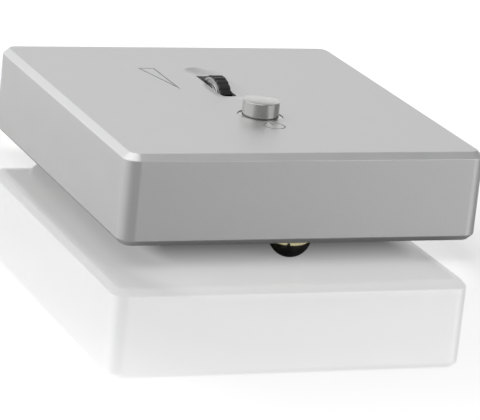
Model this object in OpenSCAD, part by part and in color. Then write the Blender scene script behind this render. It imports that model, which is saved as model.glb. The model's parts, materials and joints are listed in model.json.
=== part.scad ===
// Small desktop phono preamplifier. A milled aluminium case stands on three bumper feet. An edge-on
// volume wheel and a turned power button work through its top, and its sockets are on the back.
// All sizes are in millimetres. Front is -Y, and the feet stand on Z = 0.

/* [Case] */
// Width of the case, left to right
case_w = 85; // [84:1:110]
// Depth of the case, front to back
case_d = 93; // [88:1:120]
// Height of the case without its feet
case_h = 20.6; // [19.2:0.2:28]
// Thickness of the four side walls
wall = 2.6; // [2:0.1:3]
// Thickness of the top
roof = 2.6; // [2:0.1:3.2]
// Radius of the four upright corners
corner_r = 3.5; // [2.2:0.1:5]
// Bevel round the top and bottom edges
bevel = 1.4; // [0.4:0.1:1.8]
// Thickness of the base plate
base_t = 2; // [1.6:0.1:3]

/* [Feet] */
// Diameter of a bumper foot
foot_d = 9.4; // [8:0.1:12]
// Height of a bumper foot
foot_h = 4.8; // [4:0.1:6]
// Straight part of a bumper foot, above its dome
foot_base = 1.2; // [0.5:0.1:1.8]
// Diameter of the flat that a bumper foot stands on
foot_flat_d = 3; // [2:0.1:5]
// Front foot, from the front of the case
foot_from_front = 7.5; // [7:0.5:20]
// Rear feet, from the back of the case
foot_from_back = 13.5; // [13.5:0.5:25]
// Rear feet, from the sides of the case
foot_from_side = 10; // [9:0.5:20]

/* [Volume wheel] */
// Diameter over the ribbed tyre
wheel_d = 16; // [14:0.2:17]
// Width of the wheel
wheel_w = 3.1; // [2.6:0.1:3.2]
// Height of the wheel above the top of the case
wheel_rise = 1.6; // [0.8:0.1:2.5]
// Middle of the wheel to the right of the case's centre line
wheel_x = 0.15; // [0:0.05:0.2]
// Wheel axle behind the middle of the case
wheel_y = 12.3; // [8:0.1:16]
// Ribs on the tyre
wheel_ribs = 28; // [16:1:36]
// Diameter of the volume control's shaft
shaft_d = 6; // [4:0.1:6.4]
// Half of the space that the slot leaves across the wheel
slot_side_gap = 0.45; // [0.4:0.05:1]
// How far the slot is longer than the wheel at each end
slot_end_gap = 0.95; // [0.5:0.05:2]
// Width of the finger trough round the slot
trough_w = 9.2; // [8:0.1:12]
// Length of the finger trough
trough_l = 28; // [26:0.5:34]
// Depth of the finger trough
trough_depth = 0.8; // [0.4:0.1:1.2]

/* [Power button] */
// Diameter of the button
button_d = 8.4; // [6:0.1:10]
// Height of the button above the top when it is out
button_rise = 3.5; // [2.5:0.1:6]
// How far the button goes in
button_travel = 1.8; // [1:0.1:2]
// Gap between the button and its hole
button_gap = 1; // [0.5:0.1:1.5]
// Middle of the button in front of the case's middle
button_front = 15.3; // [12:0.1:20]

/* [Marks] */
// Width of the engraved lines
mark_line = 0.35; // [0.2:0.05:0.6]
// Depth of the engraved lines
mark_depth = 0.15; // [0.05:0.05:0.4]
// Radius of the power sign in front of the button
power_sign_r = 2.37; // [1.5:0.05:2.8]
// Length of the volume wedge beside the wheel
wedge_l = 18.9; // [10:0.1:24]
// Width of that wedge at its loud end
wedge_w = 4; // [2:0.1:6]

/* [Sockets] */
// Outer diameter of a phono socket's barrel
barrel_d = 8.3; // [8.2:0.05:8.4]
// How far the barrels stand out of the back
barrel_out = 9.5; // [9:0.1:10]
// Bore of a phono socket's centre contact
contact_bore_d = 3.3; // [3.2:0.05:3.4]
// Spacing of the two sockets of a pair
pair_pitch = 13; // [12:0.1:13.2]
// Outer input socket, from the inside of the right wall
input_from_side = 11.6; // [11.4:0.1:12.4]
// Power inlet, from the inside of the left wall
inlet_from_side = 10.9; // [10.7:0.1:11.4]
// Power inlet to the nearest output socket
inlet_pitch = 10.7; // [10.2:0.1:11]
// Centre pin of the power inlet
inlet_pin_d = 2; // [1.6:0.1:2.5]
// Hole for the plug in the power inlet
inlet_hole_d = 6.2; // [5.6:0.1:6.4]
// Diameter of the earth post's thread
post_d = 4; // [3:0.5:5]
// How far the earth post stands out of the back
post_out = 11; // [10.5:0.5:14]

/* [Board] */
// Space between the base plate and the board
standoff_h = 2; // [1.8:0.1:3]
// Thickness of the board
board_t = 1.6; // [1:0.1:2]
// Gap between the board and the walls
board_gap = 0.7; // [0.4:0.1:1.5]
// Travel of the cartridge selector under the case
selector_travel = 2.5; // [1.5:0.1:3]

/* [Hidden] */
$fn = 64;
eps = 0.01;
run_gap = 0.05;
slide_gap = 0.1;
part_gap = 0.3;

cavity_w = case_w - 2 * wall;
cavity_d = case_d - 2 * wall;
cavity_top = case_h - roof;
cavity_r = max(corner_r - wall, 0.9);

// What reaches furthest back moves the case forward of the frame's centre by half of its reach
mid_y = -max(post_out, barrel_out) / 2;
back_y = case_d / 2;
inner_back_y = back_y - wall;

board_low = base_t + standoff_h;
board_top = board_low + board_t;

// Threaded corners of the case, and the screws in them
boss_r = 3;
boss_inset = 3;
screw_r = 1.25;
screw_tap_r = screw_r + run_gap;
screw_head_r = 2.35;
screw_head_t = 1.3;
screw_l = 8;
hex_key_r = 0.9;
boss_x = cavity_w / 2 - boss_inset;
boss_y = cavity_d / 2 - boss_inset;

// Standoffs between the base plate and the board
standoff_r = 2.8;
standoff_from_side = 10.5;
standoff_from_front = 12.5;
standoff_from_back = 21.5;
standoff_x = case_w / 2 - standoff_from_side;
standoff_y = [standoff_from_front - case_d / 2, case_d / 2 - standoff_from_back];
board_screw_r = 1.25;
board_screw_head_r = 2.4;
board_screw_head_t = 1.6;
board_screw_key_r = 1;
board_screw_key_deep = 0.9;
board_hole_r = board_screw_r + 0.15;

foot_y = [foot_from_front - case_d / 2, case_d / 2 - foot_from_back];
foot_x = case_w / 2 - foot_from_side;

wheel_r = wheel_d / 2;
wheel_z = case_h + wheel_rise - wheel_r;
wheel_low_x = wheel_x - wheel_w / 2;
wheel_high_x = wheel_x + wheel_w / 2;
tyre_t = 1.3;
tyre_side = 0.25;
rib_r = 0.4;
hub_lip = 0.45;
hub_land = 1.2;
hub_dish_deep = 0.4;
hub_boss_t = 1;
shaft_flat = shaft_d / 4;
slot_w = wheel_w + 2 * slot_side_gap;
slot_l = wheel_d + 2 * slot_end_gap;
slot_r = 0.8;
trough_end = trough_l / 2 - trough_w / 2;
trough_ball_r = (pow(trough_w / 2, 2) + pow(trough_depth, 2)) / (2 * trough_depth);

// Volume control beside the wheel
control_w = 9.8;
control_t = 7.5;
control_over = 3.3;
control_nose_r = 4;
control_nose_t = 0.8;
control_low_x = wheel_high_x + part_gap + control_nose_t;
shaft_in = 6;

// Power button and its switch
button_y = -button_front;
button_r = button_d / 2;
button_hole_r = button_r + button_gap;
button_collar_r = button_hole_r + 0.9;
button_collar_t = 1.2;
button_collar_z = cavity_top - part_gap - button_collar_t;
button_bevel = 0.35;
switch_w = 8.5;
switch_h = 5;
plunger_w = 3.3;
plunger_grip = 3;
spring_r = 3;
spring_wire_r = 0.25;
spring_turns = 4;

// Signs engraved in the top
power_sign_y = button_y - button_hole_r - 3.56;
wedge_x = -11;
wedge_back_y = wheel_y + 13.05;

// Phono sockets
barrel_r = barrel_d / 2;
barrel_t = 0.55;
barrel_tail_r = barrel_r - 0.2;
barrel_seat_y = back_y - 1.6;
insert_r = barrel_r - barrel_t - run_gap;
insert_y = back_y + barrel_out - 0.5;
contact_r = contact_bore_d / 2 + 0.4;
contact_deep = 8;
contact_low_y = insert_y - contact_deep - 0.8;
collar_r = barrel_r + 0.85;
collar_y = back_y + 0.6;
jack_w = 10.4;
jack_deep = 9;
jack_z = board_top + jack_w / 2 + 0.2;
jack_hole_r = collar_r + 0.15;
input_x = [cavity_w / 2 - input_from_side, cavity_w / 2 - input_from_side - pair_pitch];
inlet_x = inlet_from_side - cavity_w / 2;
output_x = [inlet_x + inlet_pitch + pair_pitch, inlet_x + inlet_pitch];

// Power inlet
inlet_w = 9;
inlet_deep = 13;
inlet_nose_r = inlet_hole_d / 2 + 1.1;
inlet_over = 4.6;
inlet_hole_deep = 9.5;
inlet_pin_back = 1;
inlet_root_r = inlet_pin_d / 2 + 0.35;
inlet_floor_y = back_y - inlet_hole_deep;

// Earth post between the two pairs
post_x = (input_x[1] + output_x[0]) / 2;
post_r = post_d / 2;
post_flange_r = 4;
post_flange_t = 1;
washer_t = 0.8;
nut_r = 4;
nut_l = 5;
nut_flutes = 24;
nut_flute_r = 0.3;
nut_bevel = 0.4;
inner_nut_r = 4;
inner_nut_t = 2.4;
inner_thread = 1.5;

// Cartridge selector in a window of the base plate
selector_x = -20;
selector_y = 4;
selector_w = 9.6;
selector_d = 4.4;
selector_low = 0.9;
selector_key_l = 2.8;
selector_key_d = 1.8;
selector_key_low = 0.3;
selector_key_top = 2.4;
selector_flange_d = 3;
selector_flange_low = 1.8;

// Small parts on the board: their sizes, and where they stand
chip_size = [9.6, 6.4, 3.4];
chip_notch_r = 0.9;
chip_at = [[22, -8], [22, 8], [-22, 22.5]];
film_size = [7.2, 3.5, 7.5];
film_at = [for (x = [21, 31], y = [-28, -22.5, -17]) [x, y]];
can_r = 4;
can_h = 10.5;
can_at = [for (x = [-29, -19.5], y = [-26, -16]) [x, y]];
relay_low = [-30, 10];
relay_size = [14, 7.2, 5.2];
resistor_r = 1.15;
resistor_l = 6.2;
resistor_cap_l = 1.3;
lead_r = 0.3;
lead_reach = 1.3;
resistor_at = [for (x = [17, 27], y = [-1.8, 1.8, 14.5, 18.5]) [x, y]];
regulator_x = -33;
regulator_y = -0.5;
regulator_w = 10;
regulator_l = 9;
regulator_h = 4.4;
regulator_tab_l = 6.5;
regulator_tab_t = 1.3;
regulator_hole_r = 1.8;
regulator_leg = 0.8;
regulator_leg_pitch = 2.54;

// ---- helpers ----

// Moves a piece from the case's own centre to its place over the floor
module placed() {
    translate([0, mid_y, foot_h]) children();
}

// Box between two opposite corners
module block(low, high) {
    translate(low) cube(high - low);
}

// Cylinder along Y between two depths, centred on x and z
module rod_y(x, z, y0, y1, r) {
    translate([x, y0, z]) rotate([-90, 0, 0]) cylinder(h = y1 - y0, r = r);
}

// Cylinder along X between two widths, centred on y and z
module rod_x(y, z, x0, x1, r) {
    translate([x0, y, z]) rotate([0, 90, 0]) cylinder(h = x1 - x0, r = r);
}

// Upright slab with round corners, centred on X and Y
module slab(w, d, z0, z1, r) {
    block([-w / 2 + r, -d / 2, z0], [w / 2 - r, d / 2, z1]);
    block([-w / 2, -d / 2 + r, z0], [w / 2, d / 2 - r, z1]);
    for (sx = [-1, 1], sy = [-1, 1])
        translate([sx * (w / 2 - r), sy * (d / 2 - r), z0]) cylinder(h = z1 - z0, r = r);
}

// Repeats a piece at the four corners of a rectangle
module at_corners(x, y) {
    for (sx = [-1, 1], sy = [-1, 1]) translate([sx * x, sy * y, 0]) mirror([sx < 0 ? 1 : 0, 0, 0])
        mirror([0, sy < 0 ? 1 : 0, 0]) children();
}

// ---- case ----

// Section of the bevelled case from its middle out to half its size
function bevelled(half, h, c) = [
    [0, 0], [half - c, 0], [half, c], [half, h - c], [half - c, h], [0, h]
];

// Solid outside of the case: two extruded bars and four turned corners share one section
module case_outside() {
    straight_w = case_w - 2 * corner_r;
    straight_d = case_d - 2 * corner_r;
    for (s = [0, 1]) {
        translate([straight_w / 2, 0, 0]) mirror([0, s, 0]) rotate([90, 0, -90])
            linear_extrude(straight_w) polygon(bevelled(case_d / 2, case_h, bevel));
        translate([0, straight_d / 2, 0]) mirror([s, 0, 0]) rotate([90, 0, 0])
            linear_extrude(straight_d) polygon(bevelled(case_w / 2, case_h, bevel));
    }
    at_corners(straight_w / 2, straight_d / 2)
        rotate_extrude() polygon(bevelled(corner_r, case_h, bevel));
}

// Threaded corner that the base plate is screwed to
module corner_boss() {
    difference() {
        union() {
            translate([0, 0, base_t]) cylinder(h = cavity_top - base_t + eps, r = boss_r);
            block([0, 0, base_t], [boss_inset + cavity_r, boss_inset + cavity_r, cavity_top + eps]);
        }
        translate([0, 0, -eps]) cylinder(h = screw_l + 1.5, r = screw_tap_r);
    }
}

// Ball-nosed finger trough, milled along Y
module trough_cut() {
    axis_z = case_h + trough_ball_r - trough_depth;
    rod_y(0, axis_z, wheel_y - trough_end, wheel_y + trough_end, trough_ball_r, $fn = 180);
    for (s = [-1, 1])
        translate([0, wheel_y + s * trough_end, axis_z]) sphere(r = trough_ball_r, $fn = 180);
}

// Ring with a gap at the back and a stroke through the gap
module power_sign() {
    difference() {
        circle(r = power_sign_r + mark_line / 2);
        circle(r = power_sign_r - mark_line / 2);
        translate([-power_sign_r * 0.4, 0]) square([power_sign_r * 0.8, 2 * power_sign_r]);
    }
    translate([-mark_line / 2, power_sign_r * 0.35]) square([mark_line, power_sign_r * 0.9]);
}

// Long right-angled triangle in outline: its inner edge shrinks about the centre of its inner circle
module volume_wedge() {
    inner_r = (wedge_w + wedge_l - norm([wedge_w, wedge_l])) / 2;
    corners = [[0, 0], [-wedge_w, 0], [0, -wedge_l]];
    middle = [-inner_r, -inner_r];
    shrink = 1 - mark_line / inner_r;
    difference() {
        polygon(corners);
        polygon([for (c = corners) middle + (c - middle) * shrink]);
    }
}

module marks_cut() {
    translate([0, 0, case_h - mark_depth]) linear_extrude(mark_depth + 1) {
        translate([0, power_sign_y]) power_sign();
        translate([wedge_x, wedge_back_y]) volume_wedge();
    }
}

module back_holes() {
    for (x = concat(input_x, output_x)) rod_y(x, jack_z, inner_back_y - 1, back_y + 1, jack_hole_r);
    rod_y(inlet_x, jack_z, inner_back_y - 1, back_y + 1, inlet_nose_r + 0.15);
    rod_y(post_x, jack_z, inner_back_y - 1, back_y + 1, post_r + run_gap);
}

module housing() {
    color("silver") placed() difference() {
        case_outside();
        difference() {
            slab(cavity_w, cavity_d, -1, cavity_top, cavity_r);
            at_corners(boss_x, boss_y) corner_boss();
        }
        trough_cut();
        marks_cut();
        translate([0, wheel_y, 0]) slab(slot_w, slot_l, cavity_top - 1, case_h + 1, slot_r);
        translate([0, button_y, cavity_top - 1]) cylinder(h = roof + 2, r = button_hole_r);
        back_holes();
    }
}

module base_plate() {
    plate_gap = 0.15;
    color("dimgray") placed() difference() {
        slab(cavity_w - 2 * plate_gap, cavity_d - 2 * plate_gap, 0, base_t, cavity_r);
        at_corners(boss_x, boss_y) {
            translate([0, 0, -1]) cylinder(h = base_t + 2, r = screw_r + 0.1);
            translate([0, 0, -eps])
                cylinder(h = screw_head_t + eps, r1 = screw_head_r + run_gap, r2 = screw_r + 0.1);
        }
        for (sx = [-1, 1], y = standoff_y)
            translate([sx * standoff_x, y, -1]) cylinder(h = base_t + 2, r = board_screw_r + run_gap);
        translate([selector_x, selector_y, 0]) block(
            [-selector_w / 2 - part_gap, -selector_d / 2 - part_gap, -1],
            [selector_w / 2 + part_gap, selector_d / 2 + part_gap, base_t + 1]
        );
    }
}

// Countersunk screws with a hexagon socket
module base_screws() {
    color("black") placed() at_corners(boss_x, boss_y) difference() {
        union() {
            cylinder(h = screw_head_t, r1 = screw_head_r, r2 = screw_r);
            cylinder(h = screw_l, r = screw_r);
        }
        translate([0, 0, -eps]) cylinder(h = 1.2, r = hex_key_r, $fn = 6);
    }
}

// Bumper with a short straight side, and a dome that is cut flat where it stands
module foot(x, y) {
    r = foot_d / 2;
    dome_h = foot_h - foot_base;
    rise = (pow(r, 2) - pow(foot_flat_d / 2, 2) - pow(dome_h, 2)) / (2 * dome_h);
    color("darkolivegreen") placed() translate([x, y, 0]) intersection() {
        translate([0, 0, -foot_h]) cylinder(h = foot_h, r = r);
        union() {
            translate([0, 0, rise - foot_base]) sphere(r = norm([r, rise]));
            translate([0, 0, -foot_base]) cylinder(h = foot_base, r = r);
        }
    }
}

module foot_front() {
    foot(0, foot_y[0]);
}

module foot_rear_left() {
    foot(-foot_x, foot_y[1]);
}

module foot_rear_right() {
    foot(foot_x, foot_y[1]);
}

// ---- board ----

module circuit_board() {
    notch = boss_inset + boss_r + 0.6 - board_gap;
    window = 2 * wheel_r + 2;
    w = cavity_w - 2 * board_gap;
    d = cavity_d - 2 * board_gap;
    color("darkgreen") placed() difference() {
        block([-w / 2, -d / 2, board_low], [w / 2, d / 2, board_top]);
        at_corners(w / 2 - notch, d / 2 - notch)
            block([0, 0, board_low - 1], [notch + 1, notch + 1, board_top + 1]);
        block(
            [wheel_low_x - 0.8, wheel_y - window / 2, board_low - 1],
            [wheel_high_x + 0.8, wheel_y + window / 2, board_top + 1]
        );
        for (sx = [-1, 1], y = standoff_y)
            translate([sx * standoff_x, y, board_low - 1]) cylinder(h = board_t + 2, r = board_hole_r);
    }
}

module board_standoffs() {
    color("goldenrod") placed() for (sx = [-1, 1], y = standoff_y)
        translate([sx * standoff_x, y, base_t]) difference() {
            cylinder(h = standoff_h, r = standoff_r, $fn = 6);
            translate([0, 0, -1]) cylinder(h = standoff_h + 2, r = board_screw_r + run_gap);
        }
}

module board_screws() {
    color("silver") placed() for (sx = [-1, 1], y = standoff_y)
        translate([sx * standoff_x, y, 0]) difference() {
            union() {
                translate([0, 0, 0.3]) cylinder(h = board_top, r = board_screw_r);
                translate([0, 0, board_top])
                    cylinder(h = board_screw_head_t, r = board_screw_head_r);
            }
            translate([0, 0, board_top + board_screw_head_t - board_screw_key_deep])
                cylinder(h = 2, r = board_screw_key_r, $fn = 6);
        }
}

// Dual amplifier chips, flat on the board
module op_amps() {
    color("black") placed() for (p = chip_at) translate([p[0], p[1], board_top]) difference() {
        translate([-chip_size[0] / 2, -chip_size[1] / 2, 0]) cube(chip_size);
        translate([-chip_size[0] / 2, 0, chip_size[2] - 0.3]) cylinder(h = 1, r = chip_notch_r);
    }
}

// Equalisation capacitors, boxed film types in two rows
module film_capacitors() {
    color("firebrick") placed() for (p = film_at)
        translate([p[0] - film_size[0] / 2, p[1], board_top]) cube(film_size);
}

// Upright electrolytic cans with a crimped neck
module smoothing_capacitors() {
    color("midnightblue") placed() for (p = can_at)
        translate([p[0], p[1], board_top]) rotate_extrude()
            polygon([
                [0, 0], [can_r, 0], [can_r, 1], [can_r - 0.4, 1.5], [can_r, 2],
                [can_r, can_h - 0.5], [can_r - 0.5, can_h], [0, can_h]
            ]);
}

// Axial resistors along X, with wider ends and leads bent down to the board
module resistors() {
    reach = resistor_l / 2 + lead_reach;
    color("skyblue") placed() for (p = resistor_at)
        translate([p[0], p[1], board_top + resistor_r + 0.1]) {
            rod_x(0, 0, -resistor_l / 2, resistor_l / 2, resistor_r - 0.15);
            for (s = [-1, 1]) {
                end_x = s * (resistor_l - resistor_cap_l) / 2;
                rod_x(0, 0, end_x - resistor_cap_l / 2, end_x + resistor_cap_l / 2, resistor_r);
                translate([s * reach, 0, 0]) sphere(r = lead_r);
                translate([s * reach, 0, -resistor_r - 0.1]) cylinder(h = resistor_r + 0.1, r = lead_r);
            }
            rod_x(0, 0, -reach, reach, lead_r);
        }
}

// Regulator on its back: the metal tab lies on the board, which carries its heat away
module voltage_regulator() {
    leg_end = regulator_y + regulator_l + 1.4;
    leg_z = board_top + regulator_tab_t + regulator_leg;
    color("dimgray") placed() translate([regulator_x, 0, 0]) difference() {
        union() {
            block([-regulator_w / 2, regulator_y, board_top],
                  [regulator_w / 2, regulator_y + regulator_l, board_top + regulator_h]);
            block([-regulator_w / 2, regulator_y - regulator_tab_l, board_top],
                  [regulator_w / 2, regulator_y + eps, board_top + regulator_tab_t]);
            for (i = [-1 : 1]) translate([i * regulator_leg_pitch - regulator_leg / 2, 0, 0]) {
                block([0, regulator_y + regulator_l - eps, leg_z - regulator_leg],
                      [regulator_leg, leg_end, leg_z]);
                block([0, leg_end - regulator_leg, board_top], [regulator_leg, leg_end, leg_z]);
            }
        }
        translate([0, regulator_y - regulator_tab_l / 2, board_top - 1])
            cylinder(h = regulator_tab_t + 2, r = regulator_hole_r);
    }
}

module mute_relay() {
    color("ivory") placed() translate([relay_low[0], relay_low[1], board_top]) cube(relay_size);
}

// ---- volume wheel ----

// Round shaft with a flat, along X
module d_rod(x0, x1, grow) {
    r = shaft_d / 2 + grow;
    intersection() {
        rod_x(wheel_y, wheel_z, x0, x1, r);
        block([x0 - 1, wheel_y - r - 1, wheel_z - r - 1],
              [x1 + 1, wheel_y + r + 1, wheel_z + shaft_d / 2 - shaft_flat + grow]);
    }
}

module volume_control_body() {
    high_x = control_low_x + control_t;
    color("black") placed() difference() {
        union() {
            block([control_low_x, wheel_y - control_w / 2, board_top],
                  [high_x, wheel_y + control_w / 2, wheel_z + control_over]);
            intersection() {
                rod_x(wheel_y, wheel_z, control_low_x - control_nose_t, high_x, control_nose_r);
                block([control_low_x - 2, wheel_y - control_w, board_top],
                      [high_x, wheel_y + control_w, wheel_z + control_over]);
            }
        }
        rod_x(wheel_y, wheel_z, control_low_x - 2, control_low_x + shaft_in, shaft_d / 2 + run_gap);
    }
}

// The flat is only on the stretch that the wheel sits on
module volume_shaft() {
    nose_x = control_low_x - control_nose_t;
    color("lightsteelblue") placed() {
        d_rod(wheel_low_x, nose_x, 0);
        rod_x(wheel_y, wheel_z, nose_x - eps, control_low_x + shaft_in - part_gap, shaft_d / 2);
    }
}

// Turned disc: a groove round its rim holds the tyre, and each face is dished between rim and hub
module wheel_hub() {
    lip_r = wheel_r - hub_lip;
    floor_r = wheel_r - tyre_t;
    dish_r = floor_r - hub_land;
    boss = shaft_d / 2 + hub_boss_t;
    color("gainsboro") placed() difference() {
        rod_x(wheel_y, wheel_z, wheel_low_x, wheel_high_x, lip_r);
        difference() {
            rod_x(wheel_y, wheel_z, wheel_low_x + tyre_side, wheel_high_x - tyre_side, wheel_r + 1);
            rod_x(wheel_y, wheel_z, wheel_low_x, wheel_high_x, floor_r);
        }
        for (x = [wheel_low_x - 1, wheel_high_x - hub_dish_deep]) difference() {
            rod_x(wheel_y, wheel_z, x, x + 1 + hub_dish_deep, dish_r);
            rod_x(wheel_y, wheel_z, x - 1, x + 3, boss);
        }
        d_rod(wheel_low_x - 1, wheel_high_x + 1, run_gap);
    }
}

// Ribbed rubber ring in the groove of the hub
module wheel_tyre() {
    color("black") placed() difference() {
        rod_x(wheel_y, wheel_z, wheel_low_x + tyre_side, wheel_high_x - tyre_side, wheel_r);
        rod_x(wheel_y, wheel_z, wheel_low_x - 1, wheel_high_x + 1, wheel_r - tyre_t);
        for (i = [0 : wheel_ribs - 1]) {
            a = 360 * (i + 0.5) / wheel_ribs;
            rod_x(wheel_y + wheel_r * cos(a), wheel_z + wheel_r * sin(a),
                  wheel_low_x - 1, wheel_high_x + 1, rib_r, $fn = 16);
        }
    }
}

// ---- power button ----

// Turned button with a collar that stops it under the top
module power_button() {
    top = case_h + button_rise;
    color("silver") placed() translate([0, button_y, 0]) difference() {
        rotate_extrude() polygon([
            [0, button_collar_z], [button_collar_r, button_collar_z],
            [button_collar_r, button_collar_z + button_collar_t],
            [button_r, button_collar_z + button_collar_t],
            [button_r, top - button_bevel], [button_r - button_bevel, top], [0, top]
        ]);
        translate([0, 0, button_collar_z + plunger_grip / 2 - 1])
            cube([plunger_w + 0.1, plunger_w + 0.1, plunger_grip + 2], center = true);
    }
}

module switch_body() {
    deep = switch_h - 1;
    color("black") placed() translate([0, button_y, board_top]) difference() {
        block([-switch_w / 2, -switch_w / 2, 0], [switch_w / 2, switch_w / 2, switch_h]);
        translate([0, 0, switch_h]) cube(
            [plunger_w + 2 * slide_gap, plunger_w + 2 * slide_gap, 2 * deep], center = true
        );
    }
}

module switch_plunger() {
    low = board_top + switch_h - (switch_h - 1) + button_travel + part_gap;
    color("white") placed() translate([0, button_y, 0]) block(
        [-plunger_w / 2, -plunger_w / 2, low],
        [plunger_w / 2, plunger_w / 2, button_collar_z + plunger_grip - run_gap]
    );
}

// Points of one ring of the spring's wire at angle t
function spring_ring(t, low, rise) = [
    for (k = [0 : 5]) let (r = spring_r + spring_wire_r * cos(60 * k))
        [r * cos(t), r * sin(t), low + rise * t / (360 * spring_turns) + spring_wire_r * sin(60 * k)]
];

// Return spring round the plunger, a wire swept along a helix
module switch_spring() {
    step = 20;
    rings = 360 * spring_turns / step;
    low = board_top + switch_h + spring_wire_r + run_gap;
    rise = button_collar_z - spring_wire_r - run_gap - low;
    points = [for (i = [0 : rings]) each spring_ring(i * step, low, rise)];
    sides = [
        for (i = [0 : rings - 1], k = [0 : 5]) let (n = (k + 1) % 6)
            [6 * i + k, 6 * i + 6 + k, 6 * i + 6 + n, 6 * i + n]
    ];
    first = [for (k = [0 : 5]) k];
    last = [for (k = [5 : -1 : 0]) 6 * rings + k];
    color("lightgray") placed() translate([0, button_y, 0])
        polyhedron(points, concat(sides, [first, last]), convexity = 8);
}

// ---- sockets ----

// Moulded socket: a block on the board, and a collar in the case's hole that the barrel sits in
module jack_body(x) {
    face_y = inner_back_y - part_gap;
    color("black") placed() difference() {
        union() {
            block([x - jack_w / 2, face_y - jack_deep, board_top],
                  [x + jack_w / 2, face_y, jack_z + jack_w / 2]);
            rod_y(x, jack_z, face_y - eps, collar_y, collar_r);
        }
        rod_y(x, jack_z, barrel_seat_y, collar_y + 1, barrel_tail_r + run_gap);
    }
}

// Outer contact, with a thinner tail inside the collar
module jack_barrel(x) {
    tip = back_y + barrel_out;
    color("gold") placed() difference() {
        union() {
            rod_y(x, jack_z, barrel_seat_y, tip, barrel_tail_r);
            rod_y(x, jack_z, collar_y, tip, barrel_r);
        }
        rod_y(x, jack_z, barrel_seat_y - 1, tip + 1, barrel_r - barrel_t);
    }
}

// Coloured insulator between the barrel and the centre contact
module jack_insert(x, tint) {
    color(tint) placed() difference() {
        rod_y(x, jack_z, barrel_seat_y, insert_y, insert_r);
        rod_y(x, jack_z, contact_low_y, insert_y + 1, contact_r + run_gap);
    }
}

module jack_contact(x) {
    color("gold") placed() difference() {
        rod_y(x, jack_z, contact_low_y, insert_y, contact_r);
        rod_y(x, jack_z, insert_y - contact_deep, insert_y + 1, contact_bore_d / 2);
    }
}

module input_left_body() {
    jack_body(input_x[1]);
}

module input_left_barrel() {
    jack_barrel(input_x[1]);
}

module input_left_insert() {
    jack_insert(input_x[1], "white");
}

module input_left_contact() {
    jack_contact(input_x[1]);
}

module input_right_body() {
    jack_body(input_x[0]);
}

module input_right_barrel() {
    jack_barrel(input_x[0]);
}

module input_right_insert() {
    jack_insert(input_x[0], "red");
}

module input_right_contact() {
    jack_contact(input_x[0]);
}

module output_left_body() {
    jack_body(output_x[1]);
}

module output_left_barrel() {
    jack_barrel(output_x[1]);
}

module output_left_insert() {
    jack_insert(output_x[1], "white");
}

module output_left_contact() {
    jack_contact(output_x[1]);
}

module output_right_body() {
    jack_body(output_x[0]);
}

module output_right_barrel() {
    jack_barrel(output_x[0]);
}

module output_right_insert() {
    jack_insert(output_x[0], "red");
}

module output_right_contact() {
    jack_contact(output_x[0]);
}

// Barrel-plug power inlet, with its nose in the case's hole
module inlet_body() {
    face_y = inner_back_y - part_gap;
    color("black") placed() difference() {
        union() {
            block([inlet_x - inlet_w / 2, face_y - inlet_deep, board_top],
                  [inlet_x + inlet_w / 2, face_y, jack_z + inlet_over]);
            rod_y(inlet_x, jack_z, face_y - eps, back_y, inlet_nose_r);
        }
        rod_y(inlet_x, jack_z, inlet_floor_y, back_y + 1, inlet_hole_d / 2);
        rod_y(inlet_x, jack_z, inlet_floor_y - 2, back_y, inlet_root_r + run_gap);
    }
}

// Centre pin on a thicker root that is moulded into the inlet
module inlet_pin() {
    color("silver") placed() {
        rod_y(inlet_x, jack_z, inlet_floor_y, back_y - inlet_pin_back, inlet_pin_d / 2);
        rod_y(inlet_x, jack_z, inlet_floor_y - 2, inlet_floor_y, inlet_root_r);
    }
}

// ---- earth post ----

module earth_post() {
    color("gold") placed() {
        rod_y(post_x, jack_z, back_y, back_y + post_flange_t, post_flange_r);
        rod_y(post_x, jack_z, inner_back_y - inner_nut_t - inner_thread, back_y + post_out, post_r);
    }
}

module earth_inner_nut() {
    color("gold") placed() translate([post_x, inner_back_y - inner_nut_t, jack_z]) rotate([-90, 0, 0])
        difference() {
            cylinder(h = inner_nut_t, r = inner_nut_r, $fn = 6);
            translate([0, 0, -1]) cylinder(h = inner_nut_t + 2, r = post_r + run_gap);
        }
}

// Runs along the post under the nut, and clamps the earth wire
module earth_washer() {
    low = back_y + post_flange_t + run_gap;
    color("gold") placed() difference() {
        rod_y(post_x, jack_z, low, low + washer_t, nut_r - 0.3);
        rod_y(post_x, jack_z, low - 1, low + washer_t + 1, post_r + run_gap);
    }
}

// Fluted thumb nut
module earth_nut() {
    low = back_y + post_flange_t + washer_t + 2 * run_gap;
    color("gold") placed() translate([post_x, low, jack_z]) rotate([-90, 0, 0]) difference() {
        rotate_extrude() polygon([
            [post_r + run_gap, 0], [nut_r - nut_bevel, 0], [nut_r, nut_bevel],
            [nut_r, nut_l - nut_bevel], [nut_r - nut_bevel, nut_l], [post_r + run_gap, nut_l]
        ]);
        for (i = [0 : nut_flutes - 1]) rotate(360 * i / nut_flutes)
            translate([nut_r, 0, -1]) cylinder(h = nut_l + 2, r = nut_flute_r, $fn = 16);
    }
}

// ---- cartridge selector ----

// The slot is wider above, so that the key's flange can't drop out of it
module selector_body() {
    key_room = selector_key_l + selector_travel + 2 * slide_gap;
    chamber_d = selector_flange_d + 2 * slide_gap;
    color("dimgray") placed() translate([selector_x, selector_y, 0]) difference() {
        block([-selector_w / 2, -selector_d / 2, selector_low],
              [selector_w / 2, selector_d / 2, board_low]);
        block([-key_room / 2, -selector_key_d / 2 - slide_gap, 0],
              [key_room / 2, selector_key_d / 2 + slide_gap, selector_key_top + slide_gap]);
        block([-key_room / 2, -chamber_d / 2, selector_flange_low - slide_gap],
              [key_room / 2, chamber_d / 2, selector_key_top + slide_gap]);
    }
}

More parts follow.
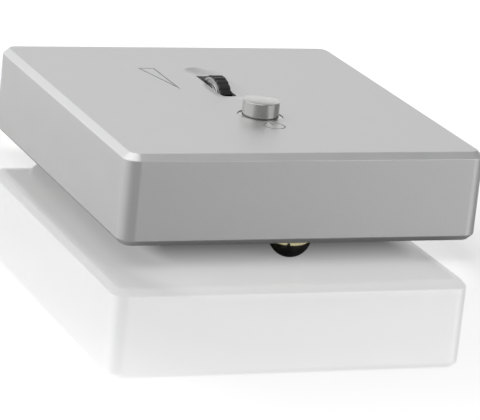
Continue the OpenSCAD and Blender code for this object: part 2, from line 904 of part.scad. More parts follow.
module selector_key() {
    low_x = -(selector_key_l + selector_travel) / 2;
    high_x = low_x + selector_key_l;
    color("white") placed() translate([selector_x, selector_y, 0]) {
        block([low_x, -selector_key_d / 2, selector_key_low],
              [high_x, selector_key_d / 2, selector_key_top]);
        block([low_x, -selector_flange_d / 2, selector_flange_low],
              [high_x, selector_flange_d / 2, selector_key_top]);
    }
}

housing();
base_plate();
base_screws();
foot_front();
foot_rear_left();
foot_rear_right();
circuit_board();
board_standoffs();
board_screws();
volume_control_body();
volume_shaft();
wheel_hub();
wheel_tyre();
power_button();
switch_body();
switch_plunger();
switch_spring();
input_left_body();
input_left_barrel();
input_left_insert();
input_left_contact();
input_right_body();
input_right_barrel();
input_right_insert();
input_right_contact();
output_left_body();
output_left_barrel();
output_left_insert();
output_left_contact();
output_right_body();
output_right_barrel();
output_right_insert();
output_right_contact();
inlet_body();
inlet_pin();
earth_post();
earth_inner_nut();
earth_washer();
earth_nut();
selector_body();
selector_key();
op_amps();
film_capacitors();
smoothing_capacitors();
resistors();
voltage_regulator();
mute_relay();
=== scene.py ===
# %% [markdown]
# # A small phono preamplifier
# This lesson dresses a measured model of a desktop phono preamplifier: a milled aluminium case on
# three bumper feet, with a volume wheel and a power button in its top and sockets in its back.
# The measured model comes in first, and every finished piece rides on one of its bodies, so that
# the wheel, the button and the other moving pieces still move.

# %% Load the measured model
import json
import math
import bpy
import bmesh
from mathutils import Matrix, Vector


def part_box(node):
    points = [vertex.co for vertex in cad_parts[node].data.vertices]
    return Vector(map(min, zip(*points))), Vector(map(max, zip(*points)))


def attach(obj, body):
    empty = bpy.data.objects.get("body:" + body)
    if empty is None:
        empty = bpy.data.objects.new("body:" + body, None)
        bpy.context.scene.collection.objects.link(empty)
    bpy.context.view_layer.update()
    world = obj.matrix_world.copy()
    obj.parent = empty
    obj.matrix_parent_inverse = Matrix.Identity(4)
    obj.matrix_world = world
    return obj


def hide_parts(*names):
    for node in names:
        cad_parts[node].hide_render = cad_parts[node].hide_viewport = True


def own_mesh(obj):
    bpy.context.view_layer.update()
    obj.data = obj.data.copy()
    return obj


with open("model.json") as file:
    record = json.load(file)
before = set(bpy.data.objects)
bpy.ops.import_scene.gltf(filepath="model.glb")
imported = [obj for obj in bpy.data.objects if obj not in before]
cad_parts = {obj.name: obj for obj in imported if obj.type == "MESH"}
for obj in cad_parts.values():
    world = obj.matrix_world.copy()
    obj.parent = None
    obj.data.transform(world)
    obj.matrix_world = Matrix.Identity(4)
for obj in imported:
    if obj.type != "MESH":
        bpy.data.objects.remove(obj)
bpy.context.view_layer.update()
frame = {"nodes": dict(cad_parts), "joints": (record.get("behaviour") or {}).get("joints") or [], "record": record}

# %% [markdown]
# Blender counts in metres and the workshop in millimetres, so one factor turns the second into the
# first. The case's own box gives the places that everything else is measured from.

# %% Measure the case
MM = 0.001
CASE_LOW, CASE_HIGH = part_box("housing")
CASE_W, CASE_D, CASE_H = CASE_HIGH - CASE_LOW
MID_X = (CASE_LOW.x + CASE_HIGH.x) / 2
MID_Y = (CASE_LOW.y + CASE_HIGH.y) / 2
TOP, BOTTOM, BACK = CASE_HIGH.z, CASE_LOW.z, CASE_HIGH.y
WALL, ROOF = 2.6 * MM, 2.6 * MM
CORNER_R, EDGE_BEVEL = 3.5 * MM, 1.4 * MM
print("case", [round(v / MM, 2) for v in (CASE_W, CASE_D, CASE_H)], "mm")


def middle(node):
    """Middle of a CAD node's box."""
    low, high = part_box(node)
    return (low + high) / 2


# %% [markdown]
# ## Materials
# A material is a tree of nodes, small boxes whose sockets are joined by links. A few short helpers
# keep the trees below readable: they set sockets by name, add nodes, and link many at once.

# %% Helpers for shader nodes
MIX_A, MIX_B, MIX_OUT = 6, 7, 2
NOTHING = (0, 0, 0)


def set_inputs(node, **values):
    """Sets input sockets by name, where an underscore stands for a space."""
    for socket, value in values.items():
        node.inputs[socket.replace("_", " ")].default_value = value
    return node


def add_node(tree, kind, operation=None, **values):
    """A new node in a tree, with some of its inputs set."""
    node = tree.nodes.new("ShaderNode" + kind)
    if operation:
        node.operation = operation
    return set_inputs(node, **values)


def add_group(tree, group, **values):
    """A node group placed in a tree, with its own values."""
    node = add_node(tree, "Group")
    node.node_tree = group
    return set_inputs(node, **values)


def add_colour_mix(tree, first, second):
    """A Mix node for colours, which have the sockets MIX_A, MIX_B and MIX_OUT."""
    mix = add_node(tree, "Mix")
    mix.data_type = "RGBA"
    mix.inputs[MIX_A].default_value = (*first, 1.0)
    mix.inputs[MIX_B].default_value = (*second, 1.0)
    return mix


def link(tree, *rows):
    """Links sockets; a row is a node, its output, the next node and that node's input."""
    for source, output, target, socket in rows:
        tree.links.new(source.outputs[output], target.inputs[socket])


# %% [markdown]
# A real surface never has one even colour, so two node groups vary every material here. The first
# is a fine grain, as in bead-blasted metal or moulded plastic: two mixed noises of different size,
# which can tint a colour, shift a roughness and raise a bump. Each material sets its own scale.

# %% Node group for fine grain
def new_group(name, inputs, outputs):
    """An empty node group with named inputs and outputs, and the two nodes at its ends."""
    group = bpy.data.node_groups.new(name, "ShaderNodeTree")
    for label, value in inputs.items():
        kind = "NodeSocketFloat" if isinstance(value, float) else "NodeSocketVector"
        socket = group.interface.new_socket(name=label, in_out="INPUT", socket_type=kind)
        socket.default_value = value
    for label in outputs:
        group.interface.new_socket(name=label, in_out="OUTPUT", socket_type="NodeSocketFloat")
    print("group:", name, [*inputs, *outputs])
    return group, group.nodes.new("NodeGroupInput"), group.nodes.new("NodeGroupOutput")


def make_grain_group():
    values = {"Scale": 3000.0, "Cloud Scale": 60.0, "Cloud Share": 0.4}
    group, given, out = new_group("fine_grain", values, ("Grain", "Mask"))
    place, mix = add_node(group, "TexCoord"), add_node(group, "Mix")
    fine = add_node(group, "TexNoise", Detail=2.0)
    cloud = add_node(group, "TexNoise", Detail=3.0)
    link(group, (place, "Object", fine, "Vector"), (place, "Object", cloud, "Vector"),
         (given, "Scale", fine, "Scale"), (given, "Cloud Scale", cloud, "Scale"),
         (given, "Cloud Share", mix, "Factor"), (fine, "Fac", mix, "A"), (cloud, "Fac", mix, "B"),
         (fine, "Fac", out, "Grain"), (mix, "Result", out, "Mask"))
    return group


GRAIN = make_grain_group()

# %% [markdown]
# The second group draws the rings that a lathe tool leaves on the flat face of a turned part. It
# takes a point measured from the turning axis, so the material moves the axis to its own centre
# first. The distance from the axis becomes a wave, and a little noise makes the rings uneven.

# %% Node group for turned rings
def make_ring_group():
    values = {"Vector": NOTHING, "Rings": 6000.0}
    group, given, out = new_group("turned_rings", values, ("Height", "Mask"))
    wave = add_node(group, "TexWave", Distortion=0.4, Detail=2.0)
    wave.wave_type, wave.rings_direction = "RINGS", "Z"
    flat = add_node(group, "VectorMath", "MULTIPLY")
    flat.inputs[1].default_value = (1.0, 1.0, 0.0)
    length = add_node(group, "VectorMath", "LENGTH")
    band = add_node(group, "TexNoise")
    band.noise_dimensions = "1D"
    link(group, (given, "Vector", wave, "Vector"), (given, "Rings", wave, "Scale"),
         (given, "Vector", flat, 0), (flat, "Vector", length, 0), (length, "Value", band, "W"),
         (given, "Rings", band, "Scale"), (wave, "Fac", out, "Height"), (band, "Fac", out, "Mask"))
    return group


RINGS = make_ring_group()

# %% [markdown]
# One helper starts every material. It sets constant values on the shader's own sockets and feeds
# the rest from the grain group: the mask runs between two tints of the colour and between two
# roughnesses, and the fine grain drives a shallow bump.

# %% Helper for a grained material
GRAIN_LOW, GRAIN_HIGH = 0.3, 0.7
RELIEF_DEPTH = 0.02 * MM


def grained(name, dark, light, rough, metallic=0.0, scale=3000.0, cloud=60.0, share=0.4, bump=0.02,
            **sockets):
    """A material whose colour and roughness run between two values with the grain."""
    material = bpy.data.materials.new(name)
    material.use_nodes = True
    tree = material.node_tree
    shader = set_inputs(tree.nodes["Principled BSDF"], Metallic=metallic, **sockets)
    grain = add_group(tree, GRAIN, Scale=scale, Cloud_Scale=cloud, Cloud_Share=share)
    tint = add_colour_mix(tree, dark, light)
    gloss = add_node(tree, "MapRange", From_Min=GRAIN_LOW, From_Max=GRAIN_HIGH, To_Min=rough[0],
                     To_Max=rough[1])
    relief = add_node(tree, "Bump", Strength=bump, Distance=RELIEF_DEPTH)
    link(tree, (grain, "Mask", tint, "Factor"), (grain, "Mask", gloss, "Value"),
         (grain, "Grain", relief, "Height"), (tint, MIX_OUT, shader, "Base Color"),
         (gloss, "Result", shader, "Roughness"), (relief, "Normal", shader, "Normal"))
    return material


# %% [markdown]
# The turned pieces start from the same helper. Their bump then comes from the ring group instead,
# read from a Mapping node that puts the turning axis on the group's Z axis.

# %% Helper for a turned material
def turned_finish(name, centre, turn, dark, light, rough, rings, bump):
    """Metal with lathe rings about an axis through centre; turn takes that axis to Z."""
    material = grained(name, dark, light, rough, metallic=1.0, scale=5000.0, cloud=300.0, bump=bump)
    tree = material.node_tree
    place = add_node(tree, "TexCoord")
    spin = add_node(tree, "Mapping")
    spin.vector_type = "TEXTURE"
    set_inputs(spin, Location=centre, Rotation=turn)
    lathe = add_group(tree, RINGS, Rings=rings)
    link(tree, (place, "Object", spin, "Vector"), (spin, "Vector", lathe, "Vector"),
         (lathe, "Height", tree.nodes["Bump"], "Height"),
         (lathe, "Mask", tree.nodes["Map Range"], "Value"))
    return material


# %% [markdown]
# The case is bead blasted and anodised in its natural silver, which leaves a satin metal with a
# speckle too fine to feel. The lines on its top are etched through that skin and look like plain
# mid grey. The feet are smoky clear polyurethane.

# %% Make the materials
SATIN = grained("satin_anodised", (0.70, 0.705, 0.70), (0.82, 0.825, 0.82), (0.41, 0.49),
                metallic=1.0, scale=4200.0, cloud=90.0, share=0.35, bump=0.12)
ETCHED = grained("etched_line", (0.31, 0.31, 0.31), (0.40, 0.40, 0.40), (0.6, 0.75), scale=5000.0)
RUBBER = grained("ribbed_rubber", (0.006, 0.006, 0.006), (0.018, 0.018, 0.018), (0.3, 0.42),
                 scale=6000.0, bump=0.2)
SMOKED = grained("smoked_urethane", (0.36, 0.325, 0.18), (0.42, 0.385, 0.23), (0.03, 0.08),
                 scale=400.0, bump=0.0, Transmission_Weight=1.0, IOR=1.5)
PLATE = grained("black_plate", (0.018, 0.018, 0.019), (0.035, 0.035, 0.036), (0.45, 0.6),
                metallic=0.6, scale=3500.0, bump=0.1)
BLACK_STEEL = grained("black_oxide", (0.02, 0.02, 0.02), (0.05, 0.048, 0.045), (0.35, 0.5),
                      metallic=0.9, scale=2500.0)
STEEL = grained("zinc_plate", (0.55, 0.56, 0.58), (0.70, 0.70, 0.70), (0.22, 0.36), metallic=1.0)
GOLD = grained("gold_plate", (0.78, 0.56, 0.22), (0.92, 0.70, 0.34), (0.16, 0.28), metallic=1.0,
               scale=1800.0, cloud=400.0)
BRASS = grained("plain_brass", (0.55, 0.40, 0.15), (0.68, 0.52, 0.24), (0.28, 0.42), metallic=1.0)
BLACK_MOULD = grained("black_moulding", (0.010, 0.010, 0.011), (0.024, 0.024, 0.025), (0.38, 0.52),
                      scale=3800.0, bump=0.15)
WHITE_MOULD = grained("white_moulding", (0.74, 0.74, 0.71), (0.84, 0.84, 0.82), (0.28, 0.38))
RED_MOULD = grained("red_moulding", (0.42, 0.015, 0.012), (0.56, 0.03, 0.022), (0.26, 0.36))
RED_FILM = grained("red_film_case", (0.34, 0.04, 0.02), (0.46, 0.07, 0.035), (0.3, 0.42))
BLUE_SLEEVE = grained("blue_sleeve", (0.015, 0.025, 0.11), (0.03, 0.045, 0.17), (0.22, 0.35))
BLUE_LACQUER = grained("blue_lacquer", (0.05, 0.17, 0.28), (0.09, 0.25, 0.37), (0.25, 0.4),
                       scale=2500.0)
print("materials:", len(bpy.data.materials))

# %% [markdown]
# ## Helpers for shapes
# Nearly everything here is either turned on a lathe or milled from a block, and Blender's bmesh
# has an operator for each. A turned piece is a chain of points beside an axis, spun through a full
# circle. A solid's chain starts and ends on the axis, and a ring's keeps off it and is closed. A
# small bevel can soften the sharp rings that a spin leaves, because no real edge is perfectly
# sharp, and the thin highlight along it is what makes metal look like metal.

# %% Helper for turned shapes
def sharp_edges(bm, angle=25):
    """Edges that two faces meet at by more than angle degrees."""
    return [e for e in bm.edges if len(e.link_faces) == 2
            and abs(e.calc_face_angle(0)) > math.radians(angle)]


def bevel(bm, edges, width, segments, clamp=False):
    """Bevels edges by a width; clamp keeps the bevels of near edges from crossing."""
    bmesh.ops.bevel(bm, geom=edges, offset=width, offset_type="OFFSET", segments=segments,
                    profile=0.5, affect="EDGES", material=-1, clamp_overlap=clamp)


def soften(bm, width, segments=2, angle=25):
    """Bevels every sharp edge by a small width."""
    bevel(bm, sharp_edges(bm, angle), width, segments, clamp=True)


AXES = {"X": Vector((1, 0, 0)), "Y": Vector((0, 1, 0)), "Z": Vector((0, 0, 1))}
OUTWARD = {"X": Vector((0, 0, 1)), "Y": Vector((0, 0, 1)), "Z": Vector((1, 0, 0))}


def turn_on_lathe(bm, chain, axis, centre, steps=96):
    """Spins a chain of (radius, height) points, in millimetres, about an axis through centre."""
    verts = [bm.verts.new(centre + OUTWARD[axis] * (r * MM) + AXES[axis] * (h * MM))
             for r, h in chain]
    edges = [bm.edges.new(pair) for pair in zip(verts, verts[1:])]
    if chain[0][0] > 0:
        edges.append(bm.edges.new((verts[-1], verts[0])))
    bmesh.ops.spin(bm, geom=verts + edges, cent=centre, axis=AXES[axis], angle=math.tau,
                   steps=steps, use_merge=True)
    bmesh.ops.remove_doubles(bm, verts=bm.verts, dist=1e-7)
    bmesh.ops.recalc_face_normals(bm, faces=bm.faces)


# %% [markdown]
# A milled piece is a block with its upright edges rounded. It comes from a unit cube that is
# scaled and moved to lie between two corners.

# %% Helper for blocks
def add_block(bm, low, high, corner=0.0, segments=8):
    """A box between two corners, with its upright edges rounded."""
    size, centre = Vector(high) - Vector(low), (Vector(high) + Vector(low)) / 2
    made = bmesh.ops.create_cube(bm, size=1.0)["verts"]
    bmesh.ops.scale(bm, vec=size, verts=made)
    bmesh.ops.translate(bm, vec=centre, verts=made)
    if corner > 0:
        edges = {e for v in made for e in v.link_edges
                 if abs((e.verts[1].co - e.verts[0].co).normalized().z) > 0.99}
        bevel(bm, list(edges), corner, segments)


# %% [markdown]
# A finished piece is a mesh object at the origin that rides on a body of the measured model and
# stands for the nodes that it replaces. Faces are smooth except across sharp edges. Plain smooth
# shading would bend a large flat face towards its small bevels, so a Weighted Normal modifier lets
# the larger face decide. A cutter is an object as well, used by a Boolean modifier and then thrown
# away. The cut faces keep its material, so an engraved line gets its own finish as it is cut.

# %% Helpers to finish and cut
def mark_sharp(bm, angle):
    """Smooths every face and keeps the edges above an angle sharp."""
    for face in bm.faces:
        face.smooth = True
    for edge in bm.edges:
        edge.smooth = True
    for edge in sharp_edges(bm, angle):
        edge.smooth = False


def new_object(name, data):
    """A new object in the scene."""
    obj = bpy.data.objects.new(name, data)
    bpy.context.scene.collection.objects.link(obj)
    return obj


def to_object(name, bm, material, angle=25):
    """Turns a bmesh into an object with smooth faces and sharp edges."""
    mark_sharp(bm, angle)
    mesh = bpy.data.meshes.new(name)
    bm.to_mesh(mesh)
    bm.free()
    mesh.materials.append(material)
    return new_object(name, mesh)


def turned_object(name, material, chain, axis, centre, steps=96, angle=25):
    """One chain turned on the lathe, as an object."""
    bm = bmesh.new()
    turn_on_lathe(bm, chain, axis, centre, steps)
    return to_object(name, bm, material, angle)


def settle(obj):
    """Applies the modifiers of an object to its mesh."""
    result = bpy.data.meshes.new_from_object(
        obj.evaluated_get(bpy.context.evaluated_depsgraph_get()))
    obj.modifiers.clear()
    old, obj.data = obj.data, result
    bpy.data.meshes.remove(old)


def finish_piece(obj, body, slot, *nodes):
    """Evens the shading, and makes obj ride on a body in place of CAD nodes."""
    obj.modifiers.new("even_shading", "WEIGHTED_NORMAL").keep_sharp = True
    settle(obj)
    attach(obj, body)
    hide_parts(*nodes)
    print(f"{obj.name}: {len(obj.data.polygons)} faces on {body}")
    return obj


def cut(obj, cutter, operation="DIFFERENCE"):
    """Applies a Boolean with the cutter, then removes the cutter."""
    step = obj.modifiers.new("cut", "BOOLEAN")
    step.operation, step.object, step.solver = operation, cutter, "EXACT"
    step.material_mode = "TRANSFER"
    settle(obj)
    bpy.data.objects.remove(cutter)


def resharpen(obj, angle):
    """Marks the sharp edges again on a mesh that has been cut."""
    bm = bmesh.new()
    bm.from_mesh(obj.data)
    bmesh.ops.remove_doubles(bm, verts=bm.verts, dist=2e-7)
    mark_sharp(bm, angle)
    bm.to_mesh(obj.data)
    bm.free()


# %% [markdown]
# ## The case
# The real case is milled from one block of aluminium and is open underneath. Here a cube is
# scaled to its size, its four upright edges are rounded, and the edges round the top and bottom
# get a flat 45 degree bevel. The bottom face is then inset to the wall's thickness and pushed
# up inside, which hollows the block in one move. Cylinders drill its holes later.

# %% Build the case
EDGE_SOFT = 0.16 * MM
BOSS_R, BOSS_THREAD_R, BOSS_THREAD_DEEP = 3 * MM, 1.3 * MM, 9.5 * MM


def build_case():
    bm = bmesh.new()
    add_block(bm, CASE_LOW, CASE_HIGH, corner=CORNER_R, segments=14)
    rim = [e for e in bm.edges for level in (TOP, BOTTOM)
           if all(abs(v.co.z - level) < 1e-6 for v in e.verts)]
    bevel(bm, rim, EDGE_BEVEL, segments=1)
    soften(bm, EDGE_SOFT, segments=3, angle=30)
    floor = min(bm.faces, key=lambda f: f.calc_center_median().z - f.calc_area())
    bmesh.ops.inset_region(bm, faces=[floor], thickness=WALL - EDGE_BEVEL, use_even_offset=True)
    grown = bmesh.ops.extrude_face_region(bm, geom=[floor])["geom"]
    risen = [g for g in grown if isinstance(g, bmesh.types.BMVert)]
    bmesh.ops.translate(bm, vec=(0, 0, CASE_H - ROOF), verts=risen)
    if floor.is_valid:
        bmesh.ops.delete(bm, geom=[floor], context="FACES_ONLY")
    bmesh.ops.recalc_face_normals(bm, faces=bm.faces)
    return to_object("case", bm, SATIN)


def work_rod(case, centre, radius, start, end, axis="Z", sides=128, operation="DIFFERENCE"):
    """Drills a hole in the case or adds a rod to it, from start to end along the Z or Y axis."""
    bm = bmesh.new()
    verts = bmesh.ops.create_cone(bm, cap_ends=True, segments=sides, radius1=radius,
                                  radius2=radius, depth=end - start)["verts"]
    place = Vector(centre)
    place["XYZ".index(axis)] = (start + end) / 2
    if axis == "Y":
        turn = Matrix.Rotation(-math.pi / 2, 3, "X")
        bmesh.ops.rotate(bm, cent=(0, 0, 0), matrix=turn, verts=verts)
    bmesh.ops.translate(bm, vec=place, verts=verts)
    cut(case, to_object("rod_tool", bm, SATIN), operation)


def add_boss(case, side_x, side_y):
    """Threaded corner inside the case, for a screw of the base plate."""
    inner_x, inner_y = CASE_W / 2 - WALL, CASE_D / 2 - WALL
    spot = Vector((MID_X + side_x * (inner_x - BOSS_R), MID_Y + side_y * (inner_y - BOSS_R), 0))
    corner = Vector((MID_X + side_x * (inner_x + MM), MID_Y + side_y * (inner_y + MM), 0))
    low, high = BOTTOM + 2 * MM, TOP - ROOF / 2
    (left, right), (front, back) = (sorted(pair) for pair in zip(spot[:2], corner[:2]))
    bm = bmesh.new()
    add_block(bm, (left, front, low), (right, back, high))
    cut(case, to_object("boss_block", bm, SATIN), "UNION")
    work_rod(case, spot, BOSS_R, low, high, sides=48, operation="UNION")
    work_rod(case, spot, BOSS_THREAD_R, BOTTOM - MM, BOTTOM + BOSS_THREAD_DEEP, sides=32)


CASE = build_case()
for side_x in (-1, 1):
    for side_y in (-1, 1):
        add_boss(CASE, side_x, side_y)
print("case shell:", len(CASE.data.polygons), "faces")

# %% [markdown]
# The finger trough is the mark of a ball-nosed cutter run along the case: a long capsule, most of
# which stays above the top, so that only a shallow dish is taken out. The capsule is a chain that
# follows two quarter circles and a straight, spun about its long axis. Inside the dish a narrow
# slot goes right through for the wheel.

# %% Cut the trough and the wheel's slot
WHEEL = middle("wheel_tyre")
TROUGH_HALF, TROUGH_W, TROUGH_DEEP = 14.0, 9.2, 0.8
BALL_R = ((TROUGH_W / 2) ** 2 + TROUGH_DEEP ** 2) / (2 * TROUGH_DEEP)
ARC_STEPS = 48
SLOT_LEFT, SLOT_RIGHT, SLOT_HALF, SLOT_CORNER = 2.0 * MM, 1.72 * MM, 8.95 * MM, 0.8 * MM


def trough_cutter():
    straight = TROUGH_HALF - TROUGH_W / 2
    quarter = [math.radians(90 * i / ARC_STEPS) for i in range(ARC_STEPS + 1)]
    chain = [(BALL_R * math.sin(a), -straight - BALL_R * math.cos(a)) for a in quarter]
    chain += [(BALL_R * math.cos(a), straight + BALL_R * math.sin(a)) for a in quarter]
    centre = Vector((MID_X, WHEEL.y, TOP + (BALL_R - TROUGH_DEEP) * MM))
    return turned_object("trough_cutter", SATIN, chain, "Y", centre, steps=240)


def slot_cutter():
    bm = bmesh.new()
    add_block(bm, (MID_X - SLOT_LEFT, WHEEL.y - SLOT_HALF, TOP - ROOF - 2 * MM),
              (MID_X + SLOT_RIGHT, WHEEL.y + SLOT_HALF, TOP + 2 * MM), corner=SLOT_CORNER)
    return to_object("slot_cutter", bm, SATIN)


cut(CASE, trough_cutter())
cut(CASE, slot_cutter())
print("trough ball radius", round(BALL_R, 2), "mm")

# %% [markdown]
# The button's hole is a millimetre wider all round than the part of the button that shows. The
# back has a row of round holes where the measured model has its sockets.

# %% Drill the holes
BUTTON = middle("power_button")
JACKS = ["input_right", "input_left", "output_right", "output_left"]
INLET, POST = middle("inlet_body"), middle("earth_post")
SOCKET_Z = middle("input_left_barrel").z
BUTTON_HOLE_R, JACK_HOLE_R, INLET_HOLE_R, POST_HOLE_R = 5.2, 5.15, 4.35, 2.05
DRILL_DEEP = 5 * MM

work_rod(CASE, (BUTTON.x, BUTTON.y, 0), BUTTON_HOLE_R * MM, TOP - ROOF - MM, TOP + MM)
BACK_HOLES = [(middle(jack + "_barrel").x, JACK_HOLE_R) for jack in JACKS]
for x, radius in (*BACK_HOLES, (INLET.x, INLET_HOLE_R), (POST.x, POST_HOLE_R)):
    work_rod(CASE, (x, 0, SOCKET_Z), radius * MM, BACK - DRILL_DEEP, BACK + MM, axis="Y")
print("holes drilled; faces:", len(CASE.data.polygons))

# %% [markdown]
# Two signs are engraved in the top: the usual power sign in front of the button, and a long wedge
# that tells which way is louder. The ring's cutter is a small upright rectangle spun through most
# of a circle. The wedge's is one triangle with its inside inset and removed, and the outline that
# is left is raised past the top.

# %% Engrave the signs
LINE, SIGN_DEEP = 0.35, 0.15
SIGN_AHEAD, SIGN_R, SIGN_GAP, BAR_LOW, BAR_HIGH = 8.76, 2.37, 24, 0.35, 1.25
WEDGE_BACK, WEDGE_LONG, WEDGE_WIDE, WEDGE_SIDE = 13.05, 18.9, 4, 11


def power_sign_cutter():
    bm = bmesh.new()
    centre = Vector((BUTTON.x, BUTTON.y - SIGN_AHEAD * MM, TOP - SIGN_DEEP * MM))
    gap = math.radians(SIGN_GAP)
    start = Matrix.Rotation(gap, 3, "Z") @ Vector((0, 1, 0))
    verts = [bm.verts.new(centre + start * (SIGN_R + side * LINE / 2) * MM + Vector((0, 0, up)))
             for side, up in ((-1, 0), (1, 0), (1, MM), (-1, MM))]
    face = bm.faces.new(verts)
    bmesh.ops.spin(bm, geom=[face, *face.edges, *verts], cent=centre, axis=(0, 0, 1),
                   angle=math.tau - 2 * gap, steps=64)
    add_block(bm, centre + Vector((-LINE / 2, SIGN_R * BAR_LOW, 0)) * MM,
              centre + Vector((LINE / 2, SIGN_R * BAR_HIGH, 1)) * MM)
    bmesh.ops.recalc_face_normals(bm, faces=bm.faces)
    return to_object("power_sign_cutter", bm, ETCHED)


def wedge_cutter():
    bm = bmesh.new()
    back, right = WHEEL.y + WEDGE_BACK * MM, MID_X - WEDGE_SIDE * MM
    verts = [bm.verts.new((x, y, TOP - SIGN_DEEP * MM)) for x, y in
             ((right, back), (right - WEDGE_WIDE * MM, back), (right, back - WEDGE_LONG * MM))]
    face = bm.faces.new(verts)
    bm.normal_update()
    bmesh.ops.inset_region(bm, faces=[face], thickness=LINE * MM, use_even_offset=True,
                           use_boundary=True)
    bmesh.ops.delete(bm, geom=[face], context="FACES")
    grown = bmesh.ops.extrude_face_region(bm, geom=bm.faces[:])["geom"]
    bmesh.ops.translate(bm, vec=(0, 0, MM),
                        verts=[g for g in grown if isinstance(g, bmesh.types.BMVert)])
    bmesh.ops.recalc_face_normals(bm, faces=bm.faces)
    return to_object("wedge_cutter", bm, ETCHED)


cut(CASE, power_sign_cutter())
cut(CASE, wedge_cutter())
resharpen(CASE, 12)
finish_piece(CASE, "root", "anodised_aluminium", "housing")

# %% [markdown]
# ## The volume wheel
# The wheel is a turned aluminium hub that carries a ribbed rubber tyre. The hub's faces are dished,
# with fine steps that the lathe tool left. Its left cheek shows beside the tyre as a thin metal
# rim, and the right one is cut back to a sliver, so that the rubber reaches that side's face. A
# chain of points goes once round the hub's section and is spun about the axle.

# %% Turn the wheel's hub
HUB_LOW, HUB_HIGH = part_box("wheel_hub")
HUB_HALF = (HUB_HIGH.x - HUB_LOW.x) / 2 / MM
HUB_MID = Vector(((HUB_LOW.x + HUB_HIGH.x) / 2, WHEEL.y, WHEEL.z))
HUB_BORE_R, DISH_IN, DISH_OUT, TYRE_SEAT_R, RIM_R, RIM_SOFT = 3.06, 4.0, 5.4, 6.72, 7.55, 0.05
LEFT_CHEEK, RIGHT_CHEEK = 0.25, 0.02
DISH_DEEP, STEP_DEEP = 0.4, 0.14
STEP_RADII = (5.7, 5.8, 6.1, 6.2, 6.5, 6.6, 6.9, 7.0)


def face_chain(side, cheek):
    """Half of the hub's section, from the bore out to the tyre's groove, on one side."""
    face = side * HUB_HALF
    dish, inside = face - side * DISH_DEEP, face - side * cheek
    ringed = [(r, face - (side * STEP_DEEP if i % 4 in (1, 2) else 0))
              for i, r in enumerate(STEP_RADII)]
    return [(HUB_BORE_R, face), (DISH_IN, face), (DISH_IN + 0.05, dish), (DISH_OUT, dish), *ringed,
            (RIM_R - RIM_SOFT, face), (RIM_R, face - side * 0.01), (RIM_R, inside),
            (TYRE_SEAT_R, inside)]


HUB_METAL = turned_finish("turned_hub", HUB_MID, (0, math.radians(90), 0), (0.42, 0.42, 0.42),
                          (0.66, 0.66, 0.66), (0.22, 0.38), 800.0, 0.2)
HUB_CHAIN = face_chain(-1, LEFT_CHEEK) + face_chain(1, RIGHT_CHEEK)[::-1]
HUB = turned_object("wheel_hub_turned", HUB_METAL, HUB_CHAIN, "X", HUB_MID, steps=128, angle=20)
finish_piece(HUB, "volume_wheel", "turned_aluminium", "wheel_hub")

# %% [markdown]
# The tyre is a rubber ring with straight ribs across it. It starts as a plain ring from the same
# lathe helper. Each rib takes the same number of steps, so the outer points between two ribs can
# be found by their angle and pulled in towards the axle, and the ribs are what is left.

# %% Mould the tyre
RIBS, STEPS_A_RIB = 28, 16
RIB_GAP, RIB_DEEP = 0.2, 0.45
TYRE_R, TYRE_SOFT, TYRE_GAP = 8.0, 0.15, 0.02
TYRE_LEFT, TYRE_RIGHT = LEFT_CHEEK + TYRE_GAP - HUB_HALF, HUB_HALF - RIGHT_CHEEK


def pull_grooves(bm, axis, centre, beyond, count, width, depth):
    """Pulls the rim of a turned piece in at count even angles; width is a share of the pitch."""
    level = AXES["Y" if axis == "X" else "X"]
    for vert in bm.verts:
        arm = vert.co - centre
        arm -= AXES[axis] * arm.dot(AXES[axis])
        if arm.length > beyond * MM:
            turn = (math.atan2(arm.z, arm.dot(level)) * count / math.tau) % 1.0
            pull = max(0.0, 1 - min(turn, 1 - turn) / width) * depth * MM
            vert.co -= arm.normalized() * pull


def build_tyre():
    half = [(TYRE_SEAT_R, 0), (RIM_R, 0), (TYRE_R - TYRE_SOFT, 0), (TYRE_R, TYRE_SOFT)]
    section = [(r, TYRE_LEFT + x) for r, x in half] + [(r, TYRE_RIGHT - x) for r, x in half[::-1]]
    bm = bmesh.new()
    turn_on_lathe(bm, section, "X", HUB_MID, steps=RIBS * STEPS_A_RIB)
    pull_grooves(bm, "X", HUB_MID, RIM_R + RIM_SOFT, RIBS, RIB_GAP, RIB_DEEP)
    return to_object("wheel_tyre_ribbed", bm, RUBBER, angle=40)


finish_piece(build_tyre(), "volume_wheel", "black_rubber", "wheel_tyre")

# %% [markdown]
# ## The power button
# The button is turned from bar: a flat top with fine rings, a small bevel, a polished side, a
# shoulder that nearly fills the hole just below the top of the case, and a wider collar that keeps
# it in. The measured model has no shoulder, so it is made here. The rings are drawn by distance
# from the axis, so they show on the flat top and not on the side, and one material does for both.

# %% Turn the button
BUTTON_LOW, BUTTON_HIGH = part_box("power_button")
BUTTON_R, BUTTON_BEVEL, BUTTON_SOFT = 4.2, 0.14, 0.04 * MM
COLLAR_R, COLLAR_HIGH = 6.1, 1.2
SHOULDER_R, SHOULDER_LOW = 5.1, 0.15
BUTTON_METAL = turned_finish("turned_button", Vector((BUTTON.x, BUTTON.y, 0)), (0, 0, 0),
                             (0.45, 0.45, 0.44), (0.56, 0.56, 0.55), (0.15, 0.24), 1500.0, 0.04)


def build_button():
    high = (BUTTON_HIGH.z - BUTTON_LOW.z) / MM
    shoulder = (TOP - BUTTON_LOW.z) / MM - SHOULDER_LOW
    chain = [(0, 0), (COLLAR_R, 0), (COLLAR_R, COLLAR_HIGH), (SHOULDER_R, COLLAR_HIGH),
             (SHOULDER_R, shoulder), (BUTTON_R, shoulder), (BUTTON_R, high - BUTTON_BEVEL),
             (BUTTON_R - BUTTON_BEVEL, high), (0, high)]
    bm = bmesh.new()
    turn_on_lathe(bm, chain, "Z", Vector((BUTTON.x, BUTTON.y, BUTTON_LOW.z)), steps=128)
    soften(bm, BUTTON_SOFT, angle=20)
    return to_object("power_button_turned", bm, BUTTON_METAL)


